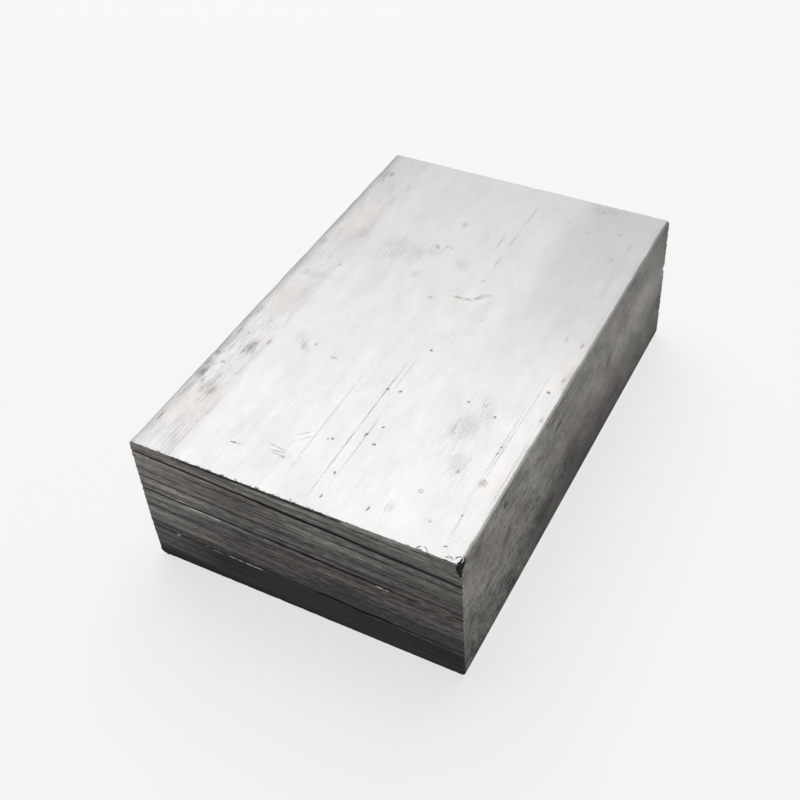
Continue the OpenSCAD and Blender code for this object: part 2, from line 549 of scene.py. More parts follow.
@dataclass(frozen=True, kw_only=True)
class MillFinish(Metal):
    """Extruded aluminium as the die left it, never machined or anodised.

    To the eye it is a soft, silvery grey lustre with no clear reflection, drawn out in faint streaks along
    the bar, cloudy where it was handled, with rubbed bands by the edges, fine pits and the odd scratch. Its
    flanks, its dents and the far end of its top carry painted shade.

    Attributes:
        width: The bar's width. Sizes are in millimetres.
        length: The bar's length.
        thickness: The bar's thickness.
        streak: Width of the finest streaks that show: the die's own lines are a tenth of this.
        band: Width of the broad streaks.
        blotch: Size of the blotches between the streaks.
        cloud: Size of the cloudy stains.
        cell: Mean distance between the fine pits.
        rubbed: Where the rubbed band along the left edge starts to end and ends, from that edge.
        skin: How far under a face its marks still lie.
        tone: The broad faces' tone before any texture, from nought to one.
    """

    width: float
    length: float
    thickness: float
    name: str = "mill_finish_aluminium"
    roughness: float = 0.5
    glance: float = 0.6
    streak: float = 0.55
    band: float = 6.0
    blotch: float = 4.0
    cloud: float = 22.0
    cell: float = 7.0
    rubbed: tuple[float, float] = (13.0, 15.5)
    skin: float = 0.35
    tone: float = 0.57

    def textures(self, add: Add, place: Any) -> dict[str, Any]:
        """Draws the textures that the skin is made of.

        Args:
            add: Adds a node to the material's tree.
            place: The point's place in millimetres.

        Returns:
            Each texture by name, and as "crisp" how clear the fine ones are at the point.
        """
        drawn = add("VECTOR_MULTIPLY", place, (1.0, 0.015, 1.0))
        broken = add("VECTOR_MULTIPLY", place, (1.0, 0.12, 1.0))
        smeared = add("VECTOR_MULTIPLY", place, (1.0, 0.4, 1.0))
        hazy = add("VECTOR_MULTIPLY", place, (1.0, 0.35, 1.0))
        wiped = add("ShaderNodeMapping", place, None, (math.radians(-45), 0.0, 0.0), (1.0, 2.6, 1.0),
                    vector_type="TEXTURE")
        return {
            "fine": add("NOISE", drawn, 1 / self.streak, 2.0, 0.6),
            "dashes": add("NOISE", broken, 1 / (self.streak * 1.4), 2.0, 0.6),
            "band": add("NOISE", drawn, 1 / self.band, 3.0, 0.6),
            "blotch": add("NOISE", smeared, 1 / self.blotch, 3.0, 0.6),
            "cloud": add("NOISE", place, 1 / self.cloud, 4.0, 0.55),
            "grain": add("NOISE", place, 1.2, 3.0, 0.65),
            "hue": add("NOISE", hazy, 1 / 16, 2.0),
            "smoky": add("NOISE", wiped, 1 / 9, 4.0, 0.6),
            "mottle": add("NOISE", place, 0.4, 3.0, 0.65),
            "crisp": add("RANGE", add("SPLIT", place).outputs[1], -80.0, 50.0, 1.6, 0.6),
        }

    def broad_face(self, add: Add, place: Any, noise: dict[str, Any]) -> bpy.types.Node:
        """Colours the top and the underside, with painted shade that dulls the top toward the back end.

        Args:
            add: Adds a node to the material's tree.
            place: The point's place in millimetres.
            noise: The textures.

        Returns:
            The node that gives the colour.
        """
        x, y, z = add("SPLIT", place).outputs
        left = add("ADD", x, self.width / 2)
        top = add("GREATER_THAN", z, self.thickness - 1.5)
        start, stop = self.rubbed
        rubbed = add("MULTIPLY", add("EASE", left, stop, start), top)
        tone: Any = self.tone
        for name, amount, by_the_edge in (("fine", 0.24, 1.0), ("dashes", 0.3, 1.0), ("grain", 0.55, 1.5),
                                          ("band", 0.7, 1.5), ("blotch", 0.9, 2.4), ("cloud", 1.5, 2.4)):
            swing = add("RANGE", rubbed, 0.0, 1.0, amount, by_the_edge)
            if name in ("fine", "dashes"):
                swing = add("MULTIPLY", swing, noise["crisp"])
            tone = add("MULTIPLY_ADD", add("SUBTRACT", noise[name], 0.5), swing, tone)
        colour = add("MIX", tone, Tint.MILL_DULL, Tint.MILL, clamp_factor=False)
        colour = add("MIX", add("RANGE", noise["hue"], 0.5, 0.75, 0.0, 0.5), colour, Tint.BLUISH)
        worn = add("MULTIPLY_ADD", rubbed, 0.28, add("RANGE", noise["hue"], 0.48, 0.3, 0.0, 0.16))
        colour = add("MIX", worn, colour, Tint.RUBBED)
        # Painted shade: the top dulls toward the back end, more so near the right edge.
        far = add("MULTIPLY", add("EASE", x, 19.0, 29.0), add("RANGE", y, -12.0, 25.0, 0.0, 0.2))
        far = add("ADD", far, add("RANGE", y, -60.0, 75.0, 0.0, 0.36))
        patchy = add("RANGE", noise["dashes"], 0.35, 0.7, 0.1, 0.7)
        grey = add("MULTIPLY", add("RANGE", left, 4.0, 0.5), patchy)
        far_shade_and_grey = add("MULTIPLY", add("ADD", far, grey), top)
        return add("MIX", far_shade_and_grey, colour, Tint.SMUDGE)

    def flank(self, add: Add, place: Any, noise: dict[str, Any]) -> bpy.types.Node:
        """Colours the two narrow long faces, which turn away from the light, with painted shade in their
        colour.

        Args:
            add: Adds a node to the material's tree.
            place: The point's place in millimetres.
            noise: The textures.

        Returns:
            The node that gives the colour.
        """
        x, y, z = add("SPLIT", place).outputs
        # Painted light and shade, right face only: lighter band toward the back, darker low in the middle.
        off_band = add("ABSOLUTE", add("SUBTRACT", z, 29.0))
        wiped = add("MULTIPLY", add("RANGE", off_band, 3.0, 13.0, 0.24, 0.0), add("RANGE", y, 12.0, 48.0))
        low = add("RANGE", z, 21.0, 12.0, 0.0, -0.2)
        half_way = add("RANGE", add("ABSOLUTE", y), 44.0, 24.0)
        uneven = add("MULTIPLY_ADD", low, half_way, wiped)
        # Painted shade: the flanks darken toward the bottom.
        flank_bottom_shade = add("RANGE", z, 3.0, self.thickness * 0.64, 0.19, 0.61)
        flank_tone_and_shade = add("MULTIPLY_ADD", uneven, add("GREATER_THAN", x, 0.0), flank_bottom_shade)
        for name, amount in (("smoky", 1.1), ("mottle", 0.7), ("grain", 0.65), ("dashes", 0.5),
                             ("fine", 0.7)):
            centred = add("SUBTRACT", noise[name], 0.5)
            if name != "smoky":
                centred = add("MULTIPLY", centred, noise["crisp"])
            flank_tone_and_shade = add("MULTIPLY_ADD", centred, amount, flank_tone_and_shade)
        colour = add("MIX", flank_tone_and_shade, Tint.FLANK_DARK, Tint.FLANK)
        return add("MIX", add("RANGE", noise["hue"], 0.5, 0.7, 0.0, 0.5), colour, Tint.FLANK_WARM)

    def distance(self, add: Add, flat: Any, marks: Sequence[Mark]) -> bpy.types.Node:
        """Finds how far a point is from the nearest of some marks, where one is the edge of its ellipse.

        Args:
            add: Adds a node to the material's tree.
            flat: The point's place on the face: across, along and one.
            marks: The marks, all on that face.

        Returns:
            The node that gives the distance.
        """
        nearest: Any = None
        for mark in marks:
            turn = math.radians(mark.turn)
            axes = ((math.cos(turn) * 2 / mark.width, -math.sin(turn) * 2 / mark.width),
                    (math.sin(turn) * 2 / mark.length, math.cos(turn) * 2 / mark.length))
            square: Any = 0.0
            for u, v in axes:
                home = -(u * mark.across + v * mark.along)
                part = add("VECTOR_DOT_PRODUCT", flat, (u, v, home)).outputs["Value"]
                square = add("MULTIPLY_ADD", part, part, square)
            nearest = square if nearest is None else add("MINIMUM", nearest, square)
        return add("SQRT", nearest)

    def handled(self, add: Add, place: Any, streaks: Any, colour: Any) -> tuple[Any, Any]:
        """Lays the marks of handling over the skin.

        Args:
            add: Adds a node to the material's tree.
            place: The point's place in millimetres.
            streaks: The streaks that the drawn-out marks break up along.
            colour: The skin's colour.

        Returns:
            The colour with the marks on it, and how deep they go in millimetres.
        """
        x, y, z = add("SPLIT", place).outputs
        across = add("ADD", x, self.width / 2)
        along = add("ADD", y, self.length / 2)
        down = add("SUBTRACT", self.thickness, z)
        faces = {Side.TOP: (add("JOIN", across, along, 1.0), add("LESS_THAN", down, self.skin)),
                 Side.RIGHT: (add("JOIN", down, along, 1.0),
                              add("GREATER_THAN", across, self.width - self.skin))}
        flecks = add("NOISE", place, 1.5, 3.0, 0.7)
        depth: Any = 0.0
        for (wear, side), rows in MARKS.items():
            tint, strength, soft, ragged, cut = wear.value
            flat, shown = faces[side]
            shade: Any = strength
            torn_by = flecks
            if wear in (Wear.PATCH, Wear.SMUDGE):
                shade = add("RANGE", flecks, 0.42, 0.6, 0.45 * strength, 1.7 * strength)
                torn_by = streaks
            rag = add("SUBTRACT", torn_by, 0.5)
            reach = add("MULTIPLY_ADD", rag, ragged, self.distance(add, flat, [Mark(*row) for row in rows]))
            here = add("MULTIPLY", add("EASE", reach, 1.0, 1.0 - soft), shown)
            colour = add("MIX", add("MULTIPLY", here, shade), colour, tint)
            if cut:
                depth = add("MULTIPLY_ADD", here, cut, depth)
        return colour, depth

    def draw(self, add: Add, place: Any) -> tuple[Any, Any, Any]:
        """Draws the skin, with the die's grooves, the pits and the marks on it.

        Args:
            add: Adds a node to the material's tree.
            place: The point's place in millimetres.

        Returns:
            The colour, the roughness and the height.
        """
        noise = self.textures(add, place)
        # The flanks take their own darker colour, which carries painted shade.
        facing = add("ABSOLUTE", add("SPLIT", add("COORDINATES").outputs["Normal"]).outputs[0])
        colour = add("MIX", add("RANGE", facing, 0.72, 0.95), self.broad_face(add, place, noise),
                     self.flank(add, place, noise))
        groove = add("ATTRIBUTE", attribute_name="groove").outputs["Fac"]
        unworn = add("RANGE", noise["dashes"], 0.3, 0.55)
        scratched = add("MULTIPLY", add("RANGE", groove, 0.0, -0.05), unworn)
        colour = add("MIX", scratched, colour, Tint.GROOVE)
        cells = add("CELLS", place, 1 / self.cell)
        chosen = add("LESS_THAN", add("ShaderNodeSeparateColor", cells.outputs["Color"]), 0.45)
        pits = add("MULTIPLY", add("RANGE", cells.outputs["Distance"], 0.055, 0.02), chosen)
        colour = add("MIX", add("MULTIPLY", pits, 0.7), colour, Tint.PIT)
        colour, depth = self.handled(add, place, noise["dashes"], colour)
        dent = add("ATTRIBUTE", attribute_name="dent").outputs["Fac"]
        # Painted shade: the dents darken with their depth.
        colour = add("MIX", add("RANGE", dent, 0.15, 0.6, 0.0, 0.97), colour, Tint.SCORED)
        rough = add("MULTIPLY_ADD", noise["cloud"], 0.22, self.roughness - 0.11)
        rough = add("MULTIPLY_ADD", noise["band"], 0.14, rough)
        height = add("MULTIPLY", depth, -1.0)
        for texture, amount in ((noise["fine"], 0.012), (noise["dashes"], 0.010), (noise["grain"], 0.02),
                                (pits, -0.06)):
            height = add("MULTIPLY_ADD", texture, amount, height)
        return colour, rough, height


@dataclass(frozen=True, kw_only=True)
class SawnFinish(Metal):
    """Band-sawn aluminium, as the blade leaves it.

    To the eye it is far darker than the skin, for it turns the light away in torn ridges along the teeth's
    path, and its tints are darkened further as painted shade. It is faintly brown and green with coolant,
    near black in the scored lines as painted shade, and has a painted glint where metal was turned up.

    Attributes:
        width: The bar's width. Sizes are in millimetres.
        thickness: The bar's thickness.
        slope: How far the teeth's path falls for each millimetre across.
        ridge: Width of a tooth's ridge.
        grain: Width of the torn grain.
        strip_fade: How far below the last scored line the strip's painted shade has set in.
        rim: How far down from the top face the sawn grain is at its roughest.
    """

    width: float
    thickness: float
    name: str = "band_sawn_aluminium"
    roughness: float = 0.55
    slope: float = 0.038
    ridge: float = 1.1
    grain: float = 0.35
    strip_fade: float = 1.2
    rim: float = 6.0

    def faint_lines(self, add: Add, place: Any) -> bpy.types.Node:
        """Draws the lines that are too shallow to shape the metal, as painted shade.

        Args:
            add: Adds a node to the material's tree.
            place: The point's place in millimetres.

        Returns:
            The node that gives how dark a line is at the point, from nought to one.
        """
        x, y, z = add("SPLIT", place).outputs
        wander = add("NOISE", add("JOIN", x, 0.0, 0.0), 0.11, 2.0)
        uneven = add("RANGE", add("NOISE", add("JOIN", x, z, 0.0), 0.5, 3.0, 0.7), 0.3, 0.6, 0.3, 1.0)
        shifted = add("MULTIPLY_ADD", wander, 0.9, z)
        darkest: Any = 0.0
        for line in FAINT_LINES:
            away = add("MULTIPLY_ADD", x, line.fall / self.width, shifted)
            away = add("ABSOLUTE", add("SUBTRACT", away, self.thickness - line.drop + 0.45))
            groove = add("RANGE", away, line.width / 2, 0.0, 0.0, line.depth)
            off = add("ABSOLUTE", add("SUBTRACT", x, (line.start + line.stop - self.width) / 2))
            reach = (line.stop - line.start) / 2
            within = add("RANGE", off, reach + 2, reach - 4)
            here = add("GREATER_THAN", add("MULTIPLY", y, float(line.end.value)), 0.0)
            for part in (within, here):
                groove = add("MULTIPLY", groove, part)
            darkest = add("MAXIMUM", darkest, groove)
        return add("MULTIPLY", darkest, uneven)

    def draw(self, add: Add, place: Any) -> tuple[Any, Any, Any]:
        """Draws the torn ridges, the lines and the strip under the last in painted shade, and painted
        glints.

        Args:
            add: Adds a node to the material's tree.
            place: The point's place in millimetres.

        Returns:
            The colour, the roughness and the height.
        """
        x, y, z = add("SPLIT", place).outputs
        level = add("MULTIPLY_ADD", x, self.slope, z)
        end = add("MULTIPLY", add("SIGN", y), APART)
        teeth, torn, bitty = (add("JOIN", add("MULTIPLY", x, share), end, level)
                              for share in (0.02, 0.12, 0.4))
        bits = add("NOISE", bitty, 1.5, 2.0, 0.6)
        ridges = add("NOISE", teeth, 1 / (self.ridge * 1.5), 5.0, 0.74)
        grain = add("NOISE", torn, 1 / self.grain, 2.0, 0.6)
        patch = add("NOISE", torn, 0.28, 3.0, 0.6)
        broad = add("NOISE", teeth, 1 / 9, 2.0, 0.5)
        hue = add("NOISE", torn, 0.11, 3.0, 0.6)
        # Painted shade and light: darker toward the bottom, lighter near the left edge, darker right of
        # there.
        tone: Any = add("RANGE", level, self.thickness - 37, self.thickness - 14, 0.08, 0.5)
        tone = add("ADD", add("RANGE", x, -10.0, -48.0, 0.0, 0.1), tone)
        painted_sawn_shade = add("MULTIPLY", add("RANGE", x, -40.0, -20.0, 0.0, 0.25),
                   add("RANGE", level, self.thickness - 3, self.thickness - 16, 0.4, 1.0))
        tone = add("SUBTRACT", tone, painted_sawn_shade)
        rough_top = add("RANGE", level, self.thickness - self.rim, self.thickness, 1.0, 2.0)
        for limits in ((0.36, 0.28, 0.0, -0.35), (0.66, 0.74, 0.0, 0.4)):
            tone = add("MULTIPLY_ADD", add("RANGE", bits, *limits), rough_top, tone)
        for texture, amount in ((ridges, 2.2), (grain, 1.4), (patch, 1.1), (broad, 0.7)):
            tone = add("MULTIPLY_ADD", add("SUBTRACT", texture, 0.5), amount, tone)
        # Painted shade: the strip under the last line goes near black, less at the left, most at the bottom.
        strip_top = self.thickness - LAST_LINE
        below = add("EASE", level, strip_top, strip_top - self.strip_fade)
        strip_bottom_shade = add("RANGE", level, 11.0, 1.0, 0.0, 1.0)
        strip_shade_mask = add("MULTIPLY", below, add("MAXIMUM", add("RANGE", x, -50.0, -28.0, 0.35, 0.88), strip_bottom_shade))
        score, lip, dent = (add("ATTRIBUTE", attribute_name=name).outputs["Fac"]
                            for name in ("score", "lip", "dent"))
        # Painted shade: the scored and faint lines darken toward near black, and so do the dents below.
        cut = add("RANGE", add("MAXIMUM", score, self.faint_lines(add, place)), 0.02, 0.5, 0.0, 0.95)
        colour: Any = Tint.SAWN_GREEN
        for amount, tint in ((add("RANGE", hue, 0.45, 0.65), Tint.SAWN),
                             (add("RANGE", hue, 0.52, 0.72), Tint.SAWN_WARM),
                             (add("RANGE", tone, 0.5, -0.1), Tint.SAWN_DARK),
                             (add("RANGE", tone, 0.5, 1.3), Tint.SAWN_LIGHT),
                             (strip_shade_mask, Tint.STRIP), (cut, Tint.SCORED),
                             # Painted glint on the turned-up lips
                             (add("RANGE", lip, 0.15, 0.9, 0.0, 0.75), Tint.BRIGHT),
                             (add("RANGE", dent, 0.15, 0.6, 0.0, 0.97), Tint.SCORED)):
            colour = add("MIX", amount, colour, tint)
        rough = add("MULTIPLY_ADD", patch, 0.3, self.roughness - 0.15)
        rough = add("MULTIPLY_ADD", lip, -0.2, rough)
        height = add("MULTIPLY_ADD", ridges, 0.14, add("MULTIPLY", grain, 0.06))
        return colour, rough, add("MULTIPLY", height, add("RANGE", below, 0.0, 1.0, 1.0, 0.3))


@dataclass(frozen=True, kw_only=True)
class TornEdge(Metal):
    """Fresh aluminium in the burr that the blade turned out along the sawn edges.

    To the eye it is brighter and shinier than the rest, because it is torn metal that nothing has dulled.
    """

    name: str = "torn_aluminium_burr"
    roughness: float = 0.38
    relief: float = 0.15

    def draw(self, add: Add, place: Any) -> tuple[Any, Any, Any]:
        """Draws the tears.

        Args:
            add: Adds a node to the material's tree.
            place: The point's place in millimetres.

        Returns:
            The colour, the roughness and the height.
        """
        tear = add("NOISE", place, 1.6, 3.0, 0.7)
        lip = add("ATTRIBUTE", attribute_name="lip").outputs["Fac"]
        # The lip attribute lifts the curls toward TORN as a painted highlight.
        shine = add("ADD", add("RANGE", tear, 0.4, 0.65), lip, use_clamp=True)
        colour = add("MIX", shine, Tint.SAWN_DARK, Tint.TORN)
        return colour, add("MULTIPLY_ADD", tear, 0.3, self.roughness - 0.15), tear


def seen_or_mirrored(add: Add) -> bpy.types.Node:
    """Finds whether a ray comes from the camera, off a glossy surface or through a clear one.

    Args:
        add: Adds a node to the tree.

    Returns:
        The node that gives one for such a ray and nought for another.
    """
    path = add("ShaderNodeLightPath").outputs
    either = add("MAXIMUM", path["Is Camera Ray"], path["Is Glossy Ray"])
    return add("MAXIMUM", either, path["Is Transmission Ray"])


@dataclass(frozen=True)
class FloorPaint:
    """Matt pale paint on the studio floor: an even, near-white field that keeps a soft shadow.

    Attributes:
        name: The material's name.
        roughness: Roughness of the paint.
        lift: How far the paint looks white by itself, from nought to one.
    """

    name: str = "matt_pale_paint"
    roughness: float = 0.9
    lift: float = 0.7

    def make(self) -> bpy.types.Material:
        """Makes the material.

        Returns:
            The material.
        """
        material = bpy.data.materials.new(self.name)
        material.use_nodes = True
        tree = material.node_tree
        add = partial(add_node, tree)
        shader = tree.nodes["Principled BSDF"]
        shader.inputs["Base Color"].default_value = linear(Tint.FLOOR.value)
        shader.inputs["Roughness"].default_value = self.roughness
        white = add("ShaderNodeEmission", (1.0, 1.0, 1.0, 1.0), 1.0)
        paint = add("ShaderNodeMixShader", add("MULTIPLY", seen_or_mirrored(add), self.lift), shader, white)
        feed(tree, tree.nodes["Material Output"].inputs["Surface"], paint)
        return material


@dataclass
class SawnBar:
    """The bar: a blank of grid lines, shaped by a tree of Geometry Nodes. Sizes are in millimetres.

    Attributes:
        width: Size across the bar.
        length: Size from sawn end to sawn end.
        thickness: Size from the underside to the top face.
        skin: The mill finish of the four extruded faces.
        sawn: The finish of the two sawn ends.
        torn: The finish of the burr.
        edge_radius: Radius of the two upper long edges.
        lower_radius: Radius of the two lower long edges.
        setback: How far the last strip leans back at the underside, where the blade broke out.
        ridge_depth: Height of the teeth's ridges.
        ridge_pitch: Spacing of the teeth's ridges.
        burr_height: How far the burr stands out.
        nibble_depth: How deep the torn edge is bitten.
        crumb_pitch: Spacing of the places where a crumb may hang on the burr.
        crumb_share: Share of those places along the front top edge that have one.
        crumb_sizes: The smallest and the largest crumb, across, across again and along the edge.
        relief_reach: How far behind the ends the relief still moves the skin.
        lean_reach: How far behind the ends the grid's rows lean with the scored lines.
        rim_reach: How far in from the sawn outline its nibbles and burr reach.
        lip_height: How far a scored line's lip stands out.
        teeth_fall: How much lower the teeth's path is at the right edge than at the left.
        edge_wear: How deep the upper long edges are worn at most, at the left and at the right.
        grid: Spacing of the blank's grid lines away from detail, across, along and up.
        seed: Seed of everything random.
        map_gap: Free rim round each face on the bake map, as a share of the map.
    """

    width: float
    length: float
    thickness: float
    skin: bpy.types.Material
    sawn: bpy.types.Material
    torn: bpy.types.Material
    edge_radius: float = 1.0
    lower_radius: float = 1.6
    setback: float = 0.4
    ridge_depth: float = 0.22
    ridge_pitch: float = 1.3
    burr_height: float = 0.35
    nibble_depth: float = 0.55
    crumb_pitch: float = 0.8
    crumb_share: float = 0.28
    crumb_sizes: tuple[tuple[float, float, float], ...] = ((0.18, 0.18, 0.6), (0.4, 0.4, 2.2))
    relief_reach: float = 2.5
    lean_reach: float = 9.0
    rim_reach: float = 1.1
    lip_height: float = 0.16
    teeth_fall: float = 4.0
    edge_wear: tuple[float, float] = (0.2, 0.5)
    grid: tuple[float, float, float] = (0.68, 3.4, 0.5)
    seed: int = 7
    map_gap: float = 0.004

    def knocks(self) -> list[Knock]:
        """Lists the dents: the knocked corner first, and then the nibbles and nicks of handling.

        Returns:
            The dents, in the bar's frame.
        """
        right, front, top = self.width / 2, -self.length / 2, self.thickness
        left, back = -right, self.length
        rows = (
            (right, 1.3, -0.5, 0.5, 2.8), (right, 1.2, 0.2, -1.6, 2.75), (right, 1.1, -0.2, -2.9, 2.6),
            (left, 23.5, -0.7, 0.6, 1.25), (left, 27.5, -2.6, 2.3, 3.7), (left, 32.5, -2.6, 2.3, 3.7),
            (left, 38, -2.6, 2.3, 3.7), (left, 43, -0.6, 0.6, 1.25), (left, 49.5, -2.7, 2.3, 3.75),
            (left, 55, -0.6, 0.6, 1.2), (left, 93, -0.7, 0.6, 1.2), (left, 61, -0.6, 0.7, 1.1),
            (left, 10, -1.0, -4.2, 1.4), (right, 0.6, 47, 0.6, 1.5), (right, 0.9, 71, 0.8, 1.6),
            (left, -0.7, 34, 0.7, 1.4), (right, 0.5, back + 0.3, -20, 1.6))
        return [Knock((edge + across, front + along, top + up), radius)
                for edge, across, along, up, radius in rows]

    def grid_lines(self) -> tuple[list[float], list[float], list[float]]:
        """Places the blank's grid lines, crowded where the shape has detail.

        Returns:
            The lines' places across, along and up.
        """
        half_w, half_l, top = self.width / 2, self.length / 2, self.thickness
        across = [(line.across - half_w, 0.3, 0.17) for line in DIE_LINES]
        across += [(side * half_w, 1.6, 0.3) for side in (-1, 1)]
        upright = [(top - line.drop, 0.45, 0.16) for line in SCORED_LINES if line.depth >= 0.3]
        upright += [(0.0, 1.6, 0.3), (top, 1.2, 0.25)]
        along = [(side * half_l, 1.1, 0.3) for side in (-1, 1)]
        along += [(knock.place[1], 1.2, 0.4) for knock in self.knocks() if abs(knock.place[1]) < half_l - 5]
        return (spaced(-half_w, half_w, self.grid[0], across), spaced(-half_l, half_l, self.grid[1], along),
                spaced(0.0, top, self.grid[2], upright))

    def map_places(self) -> list[tuple[int, bool, tuple[float, float, float, float]]]:
        """Gives each face its place on the bake map.

        Returns:
            Each face's axis, whether it is the far one, and its rectangle: left, bottom, right and top.
        """
        gap = self.map_gap
        return [
            (2, True, (gap, gap, 0.5 - gap, 0.76)),
            (2, False, (0.5 + gap, gap, 0.78, 0.42)),
            (1, False, (gap, 0.77, 0.5 - gap, 1 - gap)),
            (1, True, (0.5 + gap, 0.77, 1 - gap, 1 - gap)),
            (0, True, (0.79, gap, 1 - gap, 0.76)),
            (0, False, (0.5 + gap, 0.43, 0.78, 0.76)),
        ]

    def blank(self) -> bpy.types.Object:
        """Draws the closed blank on its grid lines, with its map for the bake.

        Returns:
            The blank, in millimetres.
        """
        lines = self.grid_lines()
        counts = [len(places) for places in lines]
        LOG.info("blank: %d by %d by %d grid lines", *counts)
        index: dict[tuple[int, ...], int] = {}
        vertices: list[tuple[float, ...]] = []
        faces: list[list[int]] = []
        corners: list[float] = []
        for axis, far, (u0, v0, u1, v1) in self.map_places():
            a, b = ((1, 2), (0, 2), (0, 1))[axis]
            level = counts[axis] - 1 if far else 0
            outward = far != (axis == 1)
            for i in range(counts[a] - 1):
                for j in range(counts[b] - 1):
                    ring = [(i, j), (i + 1, j), (i + 1, j + 1), (i, j + 1)]
                    face = []
                    for p, q in ring if outward else ring[::-1]:
                        at = [level] * 3
                        at[a], at[b] = p, q
                        key = tuple(at)
                        if key not in index:
                            index[key] = len(vertices)
                            vertices.append(tuple(places[place] for places, place in zip(lines, key)))
                        face.append(index[key])
                        s = (lines[a][p] - lines[a][0]) / (lines[a][-1] - lines[a][0])
                        t = (lines[b][q] - lines[b][0]) / (lines[b][-1] - lines[b][0])
                        corners += [u0 + (u1 - u0) * s, v0 + (v1 - v0) * t]
                    faces.append(face)
        mesh = bpy.data.meshes.new("flat_bar_blank")
        mesh.from_pydata(vertices, [], faces)
        mesh.uv_layers.new(name=BAKE_MAP).uv.foreach_set("vector", corners)
        mesh.shade_smooth()
        return new_object("flat_bar_blank", mesh)

    def scored_line_group(self) -> bpy.types.NodeTree:
        """Makes the group that draws one scored line.

        Returns:
            The group, which gives how deep the line cuts and where its lip is.
        """
        inputs = ("Middle", "Slope", "Start", "Stop", "Half Width", "Depth", "Broken", "Lip Start",
                  "Lip Stop", "End")
        tree = new_group("scored_line", dict.fromkeys(inputs, "Float"), {"Cut": "Float", "Lip": "Float"})
        add = partial(add_node, tree)
        given = add("GIVEN").outputs
        position = add("POSITION")
        x, y, z = add("SPLIT", position).outputs
        here = add("GREATER_THAN", add("MULTIPLY", y, given["End"]), 0.0)
        wander = add("NOISE", add("JOIN", x, given["Middle"], given["End"]), 0.11, 2.0)
        swing = add("MULTIPLY_ADD", wander, 0.9, -0.45)
        above = add("ADD", add("SUBTRACT", z, given["Middle"]), swing)
        height = add("MULTIPLY_ADD", x, given["Slope"], above)
        away = add("ABSOLUTE", height)
        groove = add("RANGE", away, 0.0, given["Half Width"], 1.0, 0.0)
        starts = add("RANGE", add("SUBTRACT", x, given["Start"]), 0.0, 3.0)
        stops = add("RANGE", add("SUBTRACT", given["Stop"], x), 0.0, 3.0)
        fade = add("NOISE", add("JOIN", x, given["Middle"], 9.0), 0.13, 3.0, 0.7)
        gone = add("MULTIPLY", add("RANGE", fade, 0.42, 0.6), given["Broken"])
        cut = add("MULTIPLY", groove, add("SUBTRACT", 1.0, gone))
        for part in (starts, stops, here, given["Depth"]):
            cut = add("MULTIPLY", cut, part)
        below = add("ABSOLUTE", add("ADD", height, 0.5))
        lip = add("RANGE", below, 0.24, 0.06, 0.0, 0.9)
        lip_starts = add("RANGE", add("SUBTRACT", x, given["Lip Start"]), 0.0, 1.0)
        lip_stops = add("RANGE", add("SUBTRACT", given["Lip Stop"], x), 0.0, 1.0)
        crumble = add("RANGE", add("NOISE", position, 1.0, 3.0), 0.33, 0.5)
        for part in (lip_starts, lip_stops, crumble, here):
            lip = add("MULTIPLY", lip, part)
        add("RESULT", cut, lip)
        return tree

    def knock_group(self) -> bpy.types.NodeTree:
        """Makes the group that presses one ball into the metal.

        Returns:
            The group, which gives the pressed metal.
        """
        inputs = {"Geometry": "Geometry", "Place": "Vector", "Radius": "Float"}
        tree = new_group("knock", inputs, {"Geometry": "Geometry"})
        add = partial(add_node, tree)
        given = add("GIVEN").outputs
        position = add("POSITION")
        grain = add("RANGE", add("NOISE", position, 1.1, 2.0), 0.3, 0.7, 0.86, 1.1)
        radius = add("MULTIPLY", given["Radius"], grain)
        spoke = add("VECTOR_SUBTRACT", position, given["Place"])
        distance = add("VECTOR_LENGTH", spoke)
        inside = add("COMPARE", distance, radius)
        depth = add("SUBTRACT", radius, distance)
        old = add("READ", "dent")
        dent = add("MAXIMUM", depth, old)
        marked = add("STORE", given["Geometry"], inside, "dent", dent)
        stretch = add("DIVIDE", radius, distance)
        pressed = add("VECTOR_ADD", add("VECTOR_SCALE", spoke, stretch), given["Place"])
        add("RESULT", add("MOVE", marked, inside, pressed))
        return tree

    def tree(self) -> bpy.types.NodeTree:
        """Makes the tree that turns the blank into the bar.

        Returns:
            The tree, whose inputs are named as the bar's sizes are.
        """
        sizes = ("Width", "Length", "Thickness", "Edge Radius", "Lower Radius", "Setback", "Ridge Depth",
                 "Ridge Pitch", "Burr Height", "Nibble Depth", "Crumb Pitch")
        inputs = {"Geometry": "Geometry", **dict.fromkeys(sizes, "Float"), "Seed": "Int"}
        tree = new_group("sawn_bar", inputs, {"Geometry": "Geometry"})
        add = partial(add_node, tree)
        given = add("GIVEN").outputs
        made = self.marked_blank(add, given)
        for step in (self.leaned_rows, self.die_lines, self.rounded_edges, self.sawn_relief):
            made = step(add, made, given)
        knock_tree = self.knock_group()
        for knock in self.knocks():
            made = add("GROUP", made, knock.place, knock.radius, node_tree=knock_tree)
        made = self.burred(add, made, given)
        whole = add("MERGE", [self.crumbs(add, made, given), made])
        scaled = add("GeometryNodeTransform", whole, named={"Scale": (MM, MM, MM)})
        real = add("REALIZE", scaled)
        crumb = add("READ", "crumb", data_type="BOOLEAN")
        faced = add("READ", "sawn", data_type="BOOLEAN")
        done = add("PAINT", real, None, self.skin)
        done = add("PAINT", done, faced, self.sawn)
        done = add("PAINT", done, crumb, self.torn)
        add("RESULT", done)
        return tree

